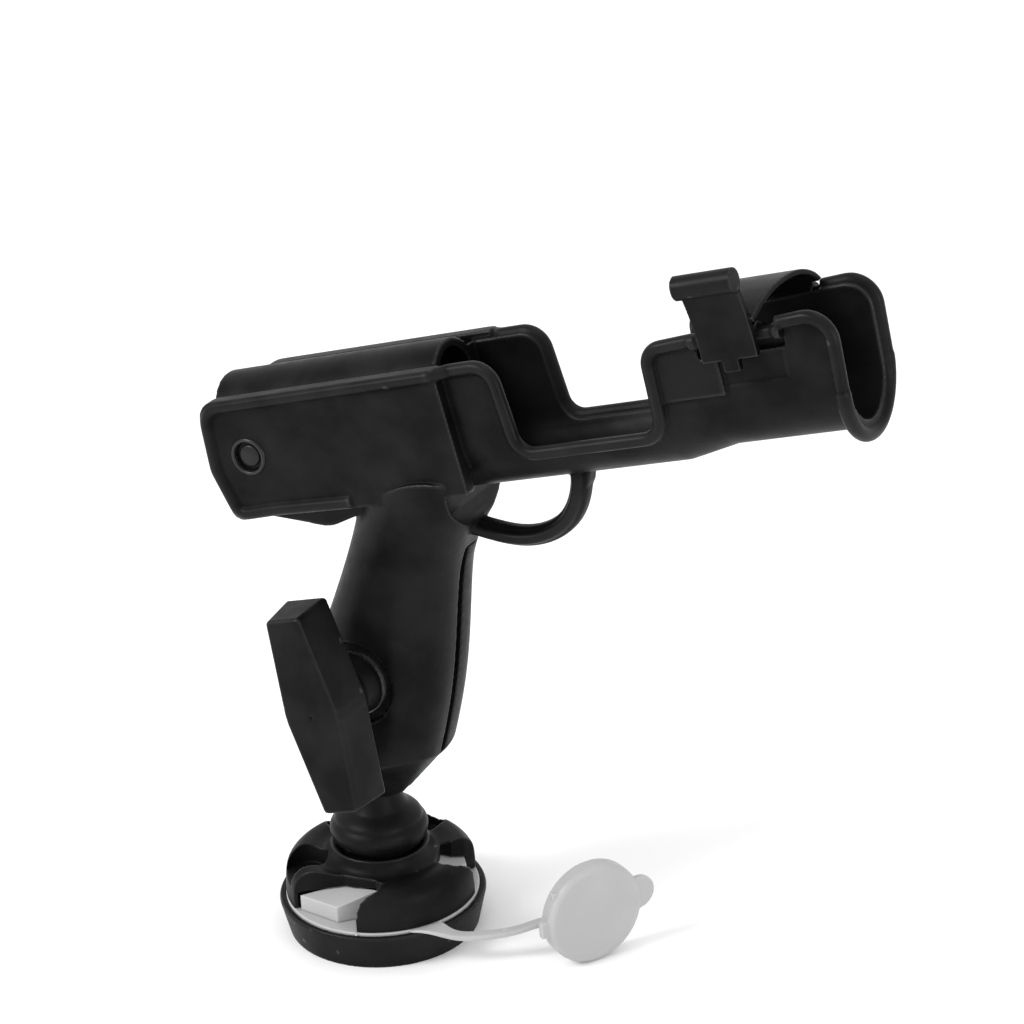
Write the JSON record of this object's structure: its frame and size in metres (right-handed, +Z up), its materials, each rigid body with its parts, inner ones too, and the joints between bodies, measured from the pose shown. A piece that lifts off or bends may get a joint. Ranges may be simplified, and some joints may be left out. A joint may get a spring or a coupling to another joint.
{
  "type": "rod holder",
  "caption": "Fishing rod holder: open cradle with swing-over locking strap on a clamped ball arm, standing on a quick-release deck port with a tethered cap.",
  "frame": {"origin": "on the port's axis in the plane of its underside, where it meets the deck", "axes": "+X towards the rod tip, +Z up along the port's axis, -Y towards the clamp knob, so the deck lies on the -Z side"},
  "size_m": [0.2632, 0.0963, 0.3026],
  "materials": {
    "black_plastic": "moulded satin black glass-filled nylon, very fine texture, softly polished along edges",
    "grey_plastic": "moulded light neutral grey, soft and slightly translucent looking, satin",
    "ball_rubber": "thin black rubber skin over the ball, dull with a slight sheen",
    "steel": "plain stainless steel, turned or drawn, lightly brushed",
    "brass": "plain turned brass"
  },
  "bodies": {
    "base": {"port_base_ring": "black_plastic", "tether_ring": "grey_plastic", "port_dome": "black_plastic", "tab_spring_near": "steel", "tab_spring_far": "steel"},
    "tab_near": {"release_tab_near": "grey_plastic"},
    "tab_far": {"release_tab_far": "grey_plastic"},
    "tether": {"cap_strap": "grey_plastic", "socket_cap": "grey_plastic"},
    "post": {"star_boss": "black_plastic", "post_screw": "steel", "ball_post": "black_plastic"},
    "skin": {"ball_cover": "ball_rubber"},
    "cradle": {"cradle_body": "black_plastic", "butt_pin": "black_plastic", "knob_washer": "steel", "clamp_spring": "steel"},
    "clamp": {"arm_far_half": "black_plastic", "clamp_bolt": "steel"},
    "knob": {"knob": "black_plastic", "knob_insert": "brass"},
    "strap": {"locking_strap": "black_plastic"}
  },
  "joints": [
    {"name": "post_turn", "type": "hinge", "parent": "base", "child": "post", "pos_m": [0, 0, 0], "axis": [0, 0, 1], "continuous": true},
    {"name": "arm_tilt", "type": "hinge", "parent": "post", "child": "skin", "pos_m": [0, 0, 0.08], "axis": [0, 1, 0], "range_deg": [-33, 5]},
    {"name": "arm_roll", "type": "hinge", "parent": "skin", "child": "cradle", "pos_m": [0, 0, 0.08], "axis": [0.9703, 0, -0.2419], "range_deg": [-12, 12]},
    {"name": "knob_turn", "type": "hinge", "parent": "cradle", "child": "knob", "pos_m": [0.00691, -0.045, 0.11682], "axis": [0, -1, 0], "range_deg": [0, 721]},
    {"name": "clamp_open", "type": "slide", "parent": "cradle", "child": "clamp", "axis": [0, 1, 0], "range_m": [0, 0.003], "deforming": ["clamp_spring"]},
    {"name": "strap_open", "type": "hinge", "parent": "cradle", "child": "strap", "pos_m": [0.16434, 0.0206, 0.27532], "axis": [-0.9659, 0, -0.2588], "range_deg": [0, 110]},
    {"name": "tab_near_push", "type": "slide", "parent": "base", "child": "tab_near", "axis": [0.2079, 0.9781, 0], "range_m": [0, 0.002], "deforming": ["tab_spring_near"]},
    {"name": "tab_far_push", "type": "slide", "parent": "base", "child": "tab_far", "axis": [-0.788, -0.6157, 0], "range_m": [0, 0.002], "deforming": ["tab_spring_far"]},
    {"name": "tether_lift", "type": "hinge", "parent": "base", "child": "tether", "pos_m": [0.03188, -0.02316, 0.0155], "axis": [-0.5878, -0.809, 0], "range_deg": [0, 30]}
  ],
  "couplings": [
    {"joint": "knob_turn", "follows": "clamp_open", "rad_per_m": 4188.8}
  ]
}
